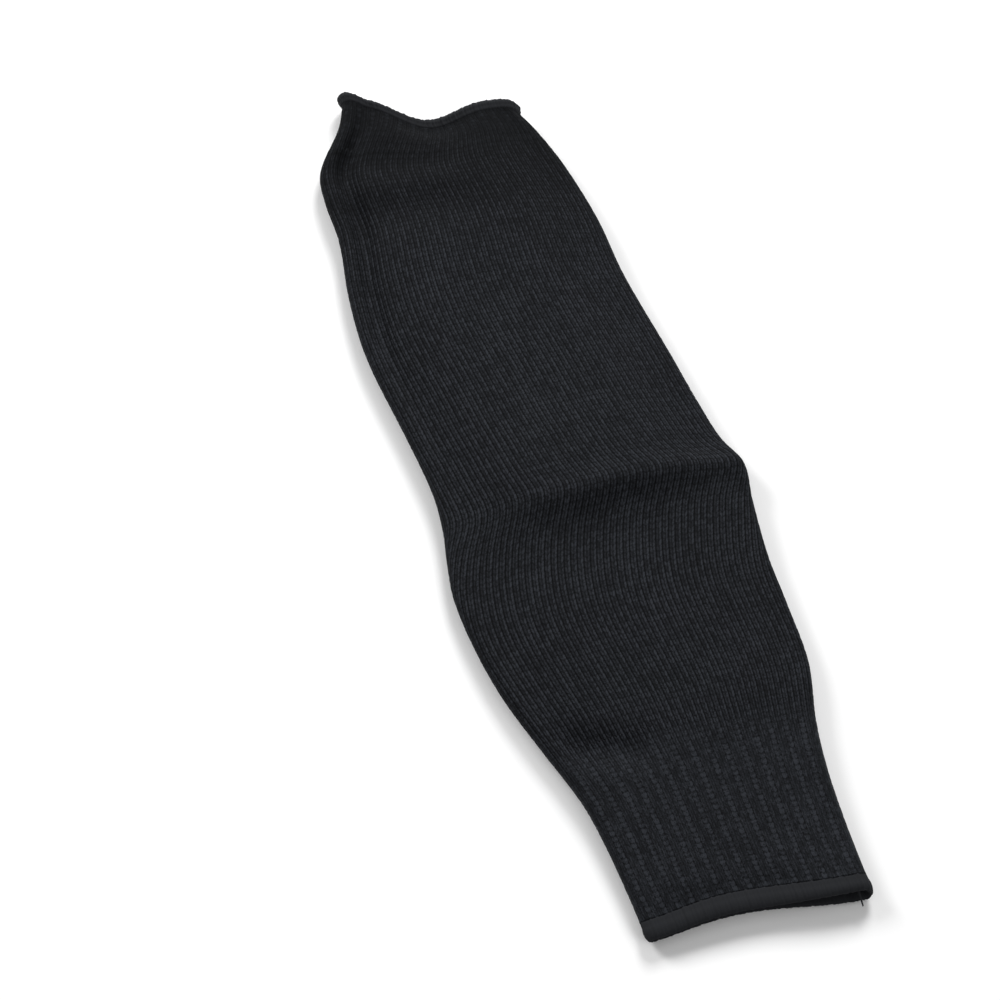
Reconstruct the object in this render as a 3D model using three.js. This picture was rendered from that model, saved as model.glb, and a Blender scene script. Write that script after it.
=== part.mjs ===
// Cut resistant sleeve: one seamless knitted tube lying flat on a surface, its wrist towards -Y and its
// upper end towards +Y. Millimetres, +Z up, the surface at z = 0 and the origin under the sleeve's middle.

import * as THREE from 'three';

// Driving dimensions
const sleeveLength = 405.8; // rim to rim along the sides, the welts included; the middle is 16 shorter
const bodyWidth = 134; // across the widest part of the plain knit, as it lies
const wristWidth = 94; // across the ribbed cuff at its rim, as it lies
const upperWidth = 88; // across the upper opening, which stands partly open
const bodyHeight = 24; // the crest of the fold across the body, above the surface
const wristHeight = 12; // the cuff as it lies
const upperHeight = 20; // the lobes of the upper opening
const wallThickness = 2.2; // one layer of the heavy knit
const cuffLength = 87.8; // the long rib at the wrist
const upperRibLength = 24; // the short rib at the upper end
const ribCount = 33; // ribs round the tube, each two knit wales and one purl wale
const ribDepth = 0.8; // how far the purl wale lies behind the other two
const wristWeltLength = 8.4; // the rolled edge at the wrist, along the sleeve
const upperWeltLength = 4.6; // the rolled edge at the upper end, along the sleeve
const weltThickness = 4.4; // both rolled edges, through the knit
const joinGap = 0.3; // between one knitted stretch and the next

// The upper rim ahead of the centring at the end; the wrist's rim lies one sleeve's length before it
const upperEnd = 200;

// Fineness of the faceted solids
const bodySides = 66;
const innerSides = 33;
const walesPerRib = 3;
const bodyStations = 29;
const cuffStations = 9;
const upperStations = 4;
const weltSides = 66;
const weltFacets = 8;

// The stretches of the tube, each with the named sizes that its sections are shares of
const stretches = {
  cuff: { start: upperEnd - sleeveLength, length: cuffLength, width: wristWidth, height: wristHeight },
  body: {
    start: upperEnd - sleeveLength + cuffLength,
    length: sleeveLength - cuffLength - upperRibLength,
    width: bodyWidth,
    height: bodyHeight,
  },
  upper: {
    start: upperEnd - upperRibLength,
    length: upperRibLength,
    width: upperWidth,
    height: upperHeight,
  },
};

// The sleeve pressed quite flat: both welts and half a wall above the lower welt's own bulge
const flatThickness = 1.5 * weltThickness + wallThickness / 2;

// Sections of the lying tube. at: share of the stretch's length. left, right: the outline, as shares of the
// stretch's width. rise: how far the top wall stands above the flat sleeve, as a share of what the stretch's
// height leaves. roll: how round the folded sides are, 1 where they take up the whole height. skew: how much
// farther up the sleeve the left side lies than the right, and bow: how much farther up the middle lies than
// the sides, as shares of the width. lean: how much stronger the bow is towards the right, -1 where it is
// all in the left half. lap: how much farther towards the wrist the underside lies than the top, as a share
// of the height.
const sections = table(
  ['stretch', 'at', 'left', 'right', 'rise', 'roll', 'skew', 'bow', 'lean', 'lap'],
  [
    ['cuff', 0.0, -0.514, 0.476, 1.0, 0.8, 0.13, 0.045, -1.0, -0.1],
    ['cuff', 0.3, -0.52, 0.485, 0.8, 0.75, 0.125, 0.02, -0.6, 0.0],
    ['cuff', 0.58, -0.534, 0.505, 1.05, 0.7, 0.12, 0.01, 0.0, 0.0],
    ['cuff', 0.81, -0.562, 0.542, 1.3, 0.65, 0.11, 0.0, 0.0, 0.0],
    ['body', 0.03, -0.447, 0.432, 0.41, 0.57, 0.1, 0.0, 0.0, 0.0],
    ['body', 0.12, -0.5, 0.443, 0.43, 0.55, 0.1, 0.0, 0.0, 0.0],
    ['body', 0.2, -0.527, 0.448, 0.47, 0.54, 0.1, 0.0, 0.0, 0.0],
    ['body', 0.29, -0.534, 0.473, 0.56, 0.52, 0.1, 0.0, 0.0, 0.0],
    ['body', 0.345, -0.514, 0.493, 0.7, 0.47, 0.1, 0.0, 0.0, 0.0],
    ['body', 0.4, -0.487, 0.457, 0.9, 0.4, 0.1, 0.0, 0.0, 0.0],
    ['body', 0.46, -0.475, 0.437, 0.86, 0.43, 0.1, 0.0, 0.0, 0.0],
    ['body', 0.55, -0.487, 0.416, 0.76, 0.47, 0.11, 0.0, 0.0, 0.0],
    ['body', 0.7, -0.514, 0.378, 0.71, 0.5, 0.13, 0.0, 0.0, 0.0],
    ['body', 0.8, -0.498, 0.371, 0.71, 0.53, 0.15, 0.0, 0.0, 0.0],
    ['body', 0.9, -0.459, 0.34, 0.69, 0.57, 0.17, -0.01, 0.0, 0.0],
    ['body', 0.97, -0.455, 0.299, 0.69, 0.62, 0.19, -0.03, 0.0, 0.0],
    ['upper', 0.25, -0.66, 0.395, 0.85, 0.72, 0.34, -0.07, -0.5, 0.0],
    ['upper', 1.0, -0.495, 0.393, 0.8, 0.85, 0.37, -0.13, -0.6, 0.0],
    ['upper', 1.55, -0.42, 0.393, 0.8, 0.85, 0.37, -0.13, -0.6, 0.0],
  ]
);

// Creases of the top wall, each a straight run between two places. from, to: [share of the stretch's length,
// share of the half width, -1 at the left side and 1 at the right]. breadth: share of the stretch's width.
// height: share of the room between the flat sleeve and the top wall there, less than zero for a valley.
const creases = table(
  ['name', 'stretch', 'from', 'to', 'breadth', 'height'],
  [
    ['crest of the fold', 'body', [0.36, -0.85], [0.374, 1.6], 0.055, 0.24],
    ['hollow below it', 'body', [0.275, -1.1], [0.3, 0.7], 0.12, -0.12],
    ['valley by the left roll', 'body', [1.2, -0.72], [0.5, -0.9], 0.03, -0.3],
    ['valley below the rim', 'body', [0.975, -1.1], [0.985, 0.4], 0.07, -0.32],
    ['dent of the upper body', 'body', [0.88, -1.1], [0.895, 0.3], 0.09, -0.22],
    ['dip of the upper rim', 'upper', [3.4, -0.06], [-0.2, -0.14], 0.175, -0.98],
    ['tuck over the cuff', 'cuff', [1.055, -1.0], [0.85, -0.2], 0.09, -0.5],
    ['wrist rim pressed shut', 'cuff', [0.02, -1.5], [0.02, 0.85], 0.15, -0.95],
  ]
);
const creaseTaper = 0.35; // share of a crease's run over which it fades at each end

const crownPower = 4; // how flat the top of a section is between its two rolled sides
const samples = { underside: 16, roll: 14, top: 72 }; // points on each run of a section, before evening out

// The rows of a table as objects, one key a column
function table(columns, rows) {
  return rows.map((row) => Object.fromEntries(columns.map((name, i) => [name, row[i]])));
}

// A smooth curve through one column of the sections, in millimetres along the sleeve
function track(value) {
  const places = sections.map((row) => stretches[row.stretch].start + row.at * stretches[row.stretch].length);
  const values = sections.map((row) => value(row, stretches[row.stretch]));
  const last = places.length - 1;
  const slopes = values.map((_, i) => {
    const before = Math.max(i - 1, 0);
    const after = Math.min(i + 1, last);
    return (values[after] - values[before]) / (places[after] - places[before]);
  });
  return (y) => {
    if (y <= places[0]) return values[0];
    if (y >= places[last]) return values[last];
    const i = places.findIndex((place) => place > y) - 1;
    const span = places[i + 1] - places[i];
    const t = (y - places[i]) / span;
    const rising = t * t * (3 - 2 * t);
    return (
      values[i] * (1 - rising) +
      values[i + 1] * rising +
      span * t * (1 - t) * ((1 - t) * slopes[i] - t * slopes[i + 1])
    );
  };
}

const leftAt = track((row, stretch) => row.left * stretch.width);
const rightAt = track((row, stretch) => row.right * stretch.width);
const roomAt = track((row, stretch) => row.rise * (stretch.height - flatThickness));
const roundAt = track((row) => row.roll);
const skewAt = track((row, stretch) => (row.skew * stretch.width) / 2);
const bowAt = track((row, stretch) => row.bow * stretch.width);
const leanAt = track((row) => row.lean);
const lapAt = track((row, stretch) => row.lap * stretch.height);

// Share of the room that the creases add at a place of the top wall: a bell across each crease, which fades
// towards both of its ends
function creaseShare(y, across, half) {
  const place = new THREE.Vector2(across * half, y);
  let share = 0;
  for (const crease of creases) {
    const stretch = stretches[crease.stretch];
    const spot = ([at, side]) => new THREE.Vector2(side * half, stretch.start + at * stretch.length);
    const from = spot(crease.from);
    const run = spot(crease.to).sub(from);
    const offset = place.clone().sub(from);
    const along = offset.dot(run) / run.lengthSq();
    const fade = THREE.MathUtils.smoothstep(Math.min(along, 1 - along), 0, creaseTaper);
    const distance = offset.addScaledVector(run, -along).length() / (crease.breadth * stretch.width);
    share += crease.height * fade * Math.exp(-distance * distance);
  }
  return share;
}

// One section of the outer face, as closely spaced points with their outward directions and their shares of
// the way round: from the middle of the underside towards the right, over the top and back. It lies flat on
// the surface, turns up round a rolled side, and is crowned between the two rolls.
function sectionAt(y) {
  const skew = skewAt(y);
  const bow = bowAt(y);
  const lean = leanAt(y);
  const left = leftAt(y + skew);
  const right = rightAt(y - skew);
  const half = (right - left) / 2;
  const middle = (right + left) / 2;
  const room = roomAt(y);
  const rise = flatThickness + room;
  const roll = wallThickness + roundAt(y) * (rise / 2 - wallThickness);
  const flat = half - roll;
  const points = [];
  for (let i = 0; i < samples.underside; i++) points.push([(flat * i) / samples.underside, 0]);
  for (let i = 0; i < samples.roll; i++) {
    const turn = (Math.PI * i) / samples.roll - Math.PI / 2;
    points.push([flat + roll * Math.cos(turn), roll + roll * Math.sin(turn)]);
  }
  for (let i = 0; i < samples.top; i++) {
    const across = 1 - (2 * i) / samples.top;
    const crown = (1 - Math.abs(across) ** crownPower) ** 2;
    points.push([flat * across, 2 * roll + (rise - 2 * roll) * crown]);
  }
  for (let i = 0; i < samples.roll; i++) {
    const turn = (Math.PI * i) / samples.roll + Math.PI / 2;
    points.push([-flat + roll * Math.cos(turn), roll + roll * Math.sin(turn)]);
  }
  for (let i = 0; i < samples.underside; i++) points.push([-flat + (flat * i) / samples.underside, 0]);
  for (const point of points) {
    const raised = THREE.MathUtils.smoothstep(point[1], 0, 2 * roll);
    point[1] += raised * room * creaseShare(y, point[0] / half, half);
  }
  const around = points.map((point, i) => {
    const before = points[(i + points.length - 1) % points.length];
    const after = points[(i + 1) % points.length];
    const length = Math.hypot(after[0] - before[0], after[1] - before[1]);
    const across = point[0] / half;
    const arc = (1 - across * across) ** 2 * (1 + lean * across);
    return {
      x: middle + point[0],
      y: y - skew * across + bow * arc - lapAt(y) * (1 - point[1] / rise),
      z: point[1],
      outX: (after[1] - before[1]) / length,
      outZ: (before[0] - after[0]) / length,
    };
  });
  let walked = 0;
  const walk = points.map((point, i) => {
    const before = points[(i + points.length - 1) % points.length];
    if (i > 0) walked += Math.hypot(point[0] - before[0], point[1] - before[1]);
    return walked;
  });
  const first = points[0];
  const end = points[points.length - 1];
  const whole = walked + Math.hypot(first[0] - end[0], first[1] - end[1]);
  return { around, shares: walk.map((length) => length / whole) };
}

// Evenly spaced points round one section, each moved out along its own direction
function ring(y, count, outBy) {
  const { around, shares } = sectionAt(y);
  return Array.from({ length: count }, (_, k) => {
    const share = k / count;
    let i = shares.findIndex((value) => value > share) - 1;
    if (i < 0) i = shares.length - 1;
    const here = around[i];
    const next = around[(i + 1) % around.length];
    const span = (i + 1 < shares.length ? shares[i + 1] : 1) - shares[i];
    const t = (share - shares[i]) / span;
    const mix = (key) => here[key] + t * (next[key] - here[key]);
    const length = Math.hypot(mix('outX'), mix('outZ'));
    const out = { x: mix('outX') / length, z: mix('outZ') / length };
    return { x: mix('x'), y: mix('y'), z: mix('z'), out, by: outBy(k) };
  });
}

const placed = (point) => [point.x + point.by * point.out.x, point.y, point.z + point.by * point.out.z];

// A closed skin over a closed chain of rings. Two rings are joined by stepping round both at once, so they
// may have different numbers of points.
function skin(rings) {
  const starts = [];
  const positions = [];
  for (const points of rings) {
    starts.push(positions.length / 3);
    points.forEach((point) => positions.push(...point));
  }
  const index = [];
  rings.forEach((points, r) => {
    const s = (r + 1) % rings.length;
    const here = (i) => starts[r] + (i % points.length);
    const there = (k) => starts[s] + (k % rings[s].length);
    let i = 0;
    let k = 0;
    while (i < points.length || k < rings[s].length) {
      if ((k + 1) / rings[s].length <= (i + 1) / points.length) {
        index.push(here(i), there(k), there(k + 1));
        k += 1;
      } else {
        index.push(here(i), there(k), here(i + 1));
        i += 1;
      }
    }
  });
  const geometry = new THREE.BufferGeometry();
  geometry.setAttribute('position', new THREE.Float32BufferAttribute(positions, 3));
  geometry.setIndex(index);
  geometry.computeVertexNormals();
  return geometry;
}

// A knitted wall between two places along the sleeve: its outer face, and one wall inside it a coarser inner
// face, which is as fine as the outer one only at the two ends
function knitWall(from, to, stations, sides, outBy) {
  const places = Array.from({ length: stations }, (_, j) => from + ((to - from) * j) / (stations - 1));
  const outer = places.map((y) => ring(y, sides, outBy).map(placed));
  const inner = places.map((y, j) => {
    const atEnd = j === 0 || j === stations - 1;
    return ring(y, atEnd ? sides : innerSides, () => -wallThickness).map(placed);
  });
  return skin([...outer, ...inner.reverse()]);
}

// A rolled edge: an oval section carried round the middle of the wall's end, one gap beyond it and kept down
// on the surface below. beyond is 1 towards the upper end and -1 towards the wrist.
function welt(wallEnd, beyond, length) {
  const wallMiddle = ring(wallEnd, weltSides, () => -wallThickness / 2);
  const facet = (i) => (2 * Math.PI * i) / weltFacets;
  const rings = Array.from({ length: weltFacets }, (_, i) =>
    wallMiddle.map((point) => {
      const [x, along, height] = placed(point);
      const out = (Math.sin(facet(i)) * weltThickness) / 2;
      return [
        x + out * point.out.x,
        along + beyond * (joinGap + length / 2) - (Math.cos(facet(i)) * length) / 2,
        Math.max(height, weltThickness / 2) + out * point.out.z,
      ];
    })
  );
  return skin(rings);
}

const knit = new THREE.MeshStandardMaterial({ color: 0x26272b, roughness: 0.95, metalness: 0 });
const overlock = new THREE.MeshStandardMaterial({ color: 0x292a2e, roughness: 0.9, metalness: 0 });

function piece(name, geometry, material) {
  const mesh = new THREE.Mesh(geometry, material);
  mesh.name = name;
  return mesh;
}

const cuffStart = stretches.cuff.start + wristWeltLength + joinGap;
const cuffEnd = stretches.body.start;
const bodyEnd = stretches.upper.start;
const ribEnd = upperEnd - upperWeltLength - joinGap;
const ribSides = ribCount * walesPerRib;
const ribbed = (k) => (k % walesPerRib === walesPerRib - 1 ? -ribDepth : 0);
const plain = () => 0;

const sleeve = new THREE.Group();
sleeve.add(
  piece('wrist_welt', welt(cuffStart, -1, wristWeltLength), overlock),
  piece('wrist_cuff', knitWall(cuffStart, cuffEnd, cuffStations, ribSides, ribbed), knit),
  piece('arm_body', knitWall(cuffEnd + joinGap, bodyEnd, bodyStations, bodySides, plain), knit),
  piece('upper_rib', knitWall(bodyEnd + joinGap, ribEnd, upperStations, ribSides, ribbed), knit),
  piece('upper_welt', welt(ribEnd, 1, upperWeltLength), overlock)
);

const box = new THREE.Box3().setFromObject(sleeve);
sleeve.position.set(-(box.min.x + box.max.x) / 2, -(box.min.y + box.max.y) / 2, 0);

export default sleeve;
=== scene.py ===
"""Cut resistant sleeve lying flat: the visual model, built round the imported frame.

Lengths are metres. The sleeve lies along Y on the surface at z = 0, its wrist towards -Y. Each knitted
piece is one closed wall worked out from the sections of the lying tube, with its stitches in relief.
"""

import logging
import math
from dataclasses import dataclass, field
from enum import Enum
from typing import Callable, Sequence, Union

import bpy
import numpy as np
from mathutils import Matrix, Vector


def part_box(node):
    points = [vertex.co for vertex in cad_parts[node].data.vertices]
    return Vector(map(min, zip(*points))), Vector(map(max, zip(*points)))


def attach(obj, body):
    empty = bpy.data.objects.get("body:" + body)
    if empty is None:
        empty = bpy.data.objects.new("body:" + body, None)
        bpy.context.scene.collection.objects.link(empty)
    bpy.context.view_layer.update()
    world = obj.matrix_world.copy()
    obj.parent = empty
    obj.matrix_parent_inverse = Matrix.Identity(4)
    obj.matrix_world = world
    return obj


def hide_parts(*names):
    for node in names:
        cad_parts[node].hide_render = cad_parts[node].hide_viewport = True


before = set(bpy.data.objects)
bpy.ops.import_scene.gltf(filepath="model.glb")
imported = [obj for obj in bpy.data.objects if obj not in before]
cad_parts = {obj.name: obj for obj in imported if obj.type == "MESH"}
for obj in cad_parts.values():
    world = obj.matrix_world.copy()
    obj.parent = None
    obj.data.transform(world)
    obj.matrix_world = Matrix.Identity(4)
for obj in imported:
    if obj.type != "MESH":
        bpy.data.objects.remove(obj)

Array = np.ndarray
Block = tuple[Array, Array]
Pair = tuple[float, float]
Triple = tuple[float, float, float]
Colour = tuple[float, float, float, float]

LOG = logging.getLogger("sleeve")
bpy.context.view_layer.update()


class Stretch(Enum):
    """The three knitted stretches of the tube, from the wrist to the upper end."""

    CUFF = "cuff"
    BODY = "body"
    UPPER = "upper"


@dataclass(frozen=True)
class StretchSize:
    """Where a stretch starts along the sleeve, and the sizes that its sections are shares of."""

    start: float
    length: float
    width: float
    height: float


@dataclass(frozen=True)
class SleeveSizes:
    """The sleeve's driving dimensions, the same as the frame's."""

    length: float = 0.4058
    body_width: float = 0.134
    wrist_width: float = 0.094
    upper_width: float = 0.088
    body_height: float = 0.024
    wrist_height: float = 0.012
    upper_height: float = 0.020
    wall: float = 0.0022
    upper_end: float = 0.200
    cuff_length: float = 0.0878
    upper_rib_length: float = 0.024
    wrist_welt_length: float = 0.0084
    upper_welt_length: float = 0.0046
    welt_thickness: float = 0.0044
    join_gap: float = 0.0003
    ribs: int = 33
    wales_per_rib: int = 3
    course: float = 0.0025

    @property
    def wales(self) -> int:
        """Columns of stitches round the tube."""
        return self.ribs * self.wales_per_rib

    @property
    def flat_thickness(self) -> float:
        """The sleeve pressed quite flat: both welts and half a wall above the lower welt's own bulge."""
        return 1.5 * self.welt_thickness + self.wall / 2

    @property
    def wrist_end(self) -> float:
        """Where the wrist's rim lies, one sleeve's length before the upper rim."""
        return self.upper_end - self.length

    @property
    def cuff_start(self) -> float:
        """Where the wrist rib meets its welt."""
        return self.wrist_end + self.wrist_welt_length + self.join_gap

    @property
    def body_start(self) -> float:
        """Where the wrist rib meets the plain knit."""
        return self.wrist_end + self.cuff_length

    @property
    def body_end(self) -> float:
        """Where the plain knit meets the upper rib."""
        return self.upper_end - self.upper_rib_length

    @property
    def rib_end(self) -> float:
        """Where the upper rib meets its welt."""
        return self.upper_end - self.upper_welt_length - self.join_gap

    def stretch(self, which: Stretch) -> StretchSize:
        """Gives one stretch's start and sizes.

        Args:
            which: the stretch.

        Returns:
            Its start, length, width and height.
        """
        body_length = self.body_end - self.body_start
        sizes = {
            Stretch.CUFF: (self.wrist_end, self.cuff_length, self.wrist_width, self.wrist_height),
            Stretch.BODY: (self.body_start, body_length, self.body_width, self.body_height),
            Stretch.UPPER: (self.body_end, self.upper_rib_length, self.upper_width, self.upper_height),
        }
        return StretchSize(*sizes[which])


def table(kind: type, columns: str, *rows: tuple) -> tuple:
    """Makes a record of each row of a table.

    Args:
        kind: the records' class.
        columns: the names of its fields, in the order of the rows.
        rows: the values. A short row leaves the last fields at their defaults.

    Returns:
        The records.
    """
    names = columns.split()
    return tuple(kind(**dict(zip(names, row))) for row in rows)


@dataclass(frozen=True)
class Section:
    """One section of the lying tube.

    at is a share of the stretch's length. left and right are the outline, as shares of its width. rise is
    how far the top wall stands above the flat sleeve, as a share of what the stretch's height leaves. roll
    is how round the folded sides are, 1 where they take up the whole height. skew is how much farther up
    the sleeve the left side lies than the right, and bow how much farther up the middle lies than the
    sides, as shares of the width. lean is how much stronger the bow is towards the right. lap is how much
    farther towards the wrist the underside lies than the top, as a share of the height.
    """

    stretch: Stretch
    at: float
    left: float
    right: float
    rise: float
    roll: float
    skew: float
    bow: float = 0.0
    lean: float = 0.0
    lap: float = 0.0


SECTIONS = table(
    Section, "stretch at left right rise roll skew bow lean lap",
    (Stretch.CUFF, 0.0, -0.514, 0.476, 1.0, 0.8, 0.13, 0.045, -1.0, -0.1),
    (Stretch.CUFF, 0.3, -0.52, 0.485, 0.8, 0.75, 0.125, 0.02, -0.6),
    (Stretch.CUFF, 0.58, -0.534, 0.505, 1.05, 0.7, 0.12, 0.01),
    (Stretch.CUFF, 0.81, -0.562, 0.542, 1.3, 0.65, 0.11),
    (Stretch.BODY, 0.03, -0.447, 0.432, 0.41, 0.57, 0.1),
    (Stretch.BODY, 0.12, -0.5, 0.443, 0.43, 0.55, 0.1),
    (Stretch.BODY, 0.2, -0.527, 0.448, 0.47, 0.54, 0.1),
    (Stretch.BODY, 0.29, -0.534, 0.473, 0.56, 0.52, 0.1),
    (Stretch.BODY, 0.345, -0.514, 0.493, 0.7, 0.47, 0.1),
    (Stretch.BODY, 0.4, -0.487, 0.457, 0.9, 0.4, 0.1),
    (Stretch.BODY, 0.46, -0.475, 0.437, 0.86, 0.43, 0.1),
    (Stretch.BODY, 0.55, -0.487, 0.416, 0.76, 0.47, 0.11),
    (Stretch.BODY, 0.7, -0.514, 0.378, 0.71, 0.5, 0.13),
    (Stretch.BODY, 0.8, -0.498, 0.371, 0.71, 0.53, 0.15),
    (Stretch.BODY, 0.9, -0.459, 0.34, 0.69, 0.57, 0.17, -0.01),
    (Stretch.BODY, 0.97, -0.455, 0.299, 0.69, 0.62, 0.19, -0.03),
    (Stretch.UPPER, 0.25, -0.66, 0.395, 0.85, 0.72, 0.34, -0.07, -0.5),
    (Stretch.UPPER, 1.0, -0.495, 0.393, 0.8, 0.85, 0.37, -0.13, -0.6),
    (Stretch.UPPER, 1.55, -0.42, 0.393, 0.8, 0.85, 0.37, -0.13, -0.6),
)


@dataclass(frozen=True)
class Crease:
    """A crease of the top wall, a straight run between two places.

    start and end are each a share of the stretch's length and a share of the half width, -1 at the left
    side and 1 at the right. breadth is a share of the stretch's width. height is a share of the room
    between the flat sleeve and the top wall there, less than zero for a valley.
    """

    name: str
    stretch: Stretch
    start: Pair
    end: Pair
    breadth: float
    height: float


CREASES = table(
    Crease, "name stretch start end breadth height",
    ("crest of the fold", Stretch.BODY, (0.36, -0.85), (0.374, 1.6), 0.055, 0.24),
    ("hollow below it", Stretch.BODY, (0.275, -1.1), (0.3, 0.7), 0.12, -0.12),
    ("valley by the left roll", Stretch.BODY, (1.2, -0.72), (0.5, -0.9), 0.03, -0.3),
    ("valley below the rim", Stretch.BODY, (0.975, -1.1), (0.985, 0.4), 0.07, -0.32),
    ("dent of the upper body", Stretch.BODY, (0.88, -1.1), (0.895, 0.3), 0.09, -0.22),
    ("dip of the upper rim", Stretch.UPPER, (3.4, -0.06), (-0.2, -0.14), 0.175, -0.98),
    ("tuck over the cuff", Stretch.CUFF, (1.055, -1.0), (0.85, -0.2), 0.09, -0.5),
    ("wrist rim pressed shut", Stretch.CUFF, (0.02, -1.5), (0.02, 0.85), 0.15, -0.95),
)
CREASE_TAPER = 0.35
CROWN_POWER = 4


@dataclass(frozen=True)
class Drift:
    """How far the columns of stitches have turned round the tube at a place of the body, in ribs."""

    at: float
    ribs: float


DRIFTS = table(
    Drift, "at ribs",
    (0.1, 1.0),
    (0.2, 1.0),
    (0.3, 0.35),
    (0.375, -0.33),
    (0.44, -0.15),
    (0.52, 0.0),
    (0.7, 0.0),
)


def smoothstep(value: Array, low: float, high: Union[float, Array]) -> Array:
    """Rises from 0 at low to 1 at high along 3t^2 - 2t^3, level outside.

    Args:
        value: the places.
        low: where the rise begins.
        high: where it ends.

    Returns:
        The share risen at each place.
    """
    t = np.clip((value - low) / (high - low), 0.0, 1.0)
    return t * t * (3.0 - 2.0 * t)


class Track:
    """A smooth curve through a few values along the sleeve.

    Between two places it is v0 (1 - r) + v1 r + span t (1 - t) ((1 - t) s0 - t s1), where t is the share of
    the way, r = 3t^2 - 2t^3, and a slope s is that between a place's two neighbours.
    """

    def __init__(self, places: Sequence[float], values: Sequence[float]) -> None:
        """Keeps the places and works out the slopes.

        Args:
            places: the places along the sleeve, in rising order.
            values: the value at each place.
        """
        self.places = np.array(places, float)
        self.values = np.array(values, float)
        before = np.maximum(np.arange(len(self.places)) - 1, 0)
        after = np.minimum(np.arange(len(self.places)) + 1, len(self.places) - 1)
        self.slopes = (self.values[after] - self.values[before]) / (self.places[after] - self.places[before])

    def __call__(self, y: Array) -> Array:
        """Gives the value at each place.

        Args:
            y: places along the sleeve.

        Returns:
            The values, level beyond the first and last place.
        """
        i = np.clip(np.searchsorted(self.places, y, side="right") - 1, 0, len(self.places) - 2)
        span = self.places[i + 1] - self.places[i]
        t = np.clip((y - self.places[i]) / span, 0.0, 1.0)
        rising = t * t * (3.0 - 2.0 * t)
        turn = span * t * (1.0 - t) * ((1.0 - t) * self.slopes[i] - t * self.slopes[i + 1])
        return self.values[i] * (1.0 - rising) + self.values[i + 1] * rising + turn


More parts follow.
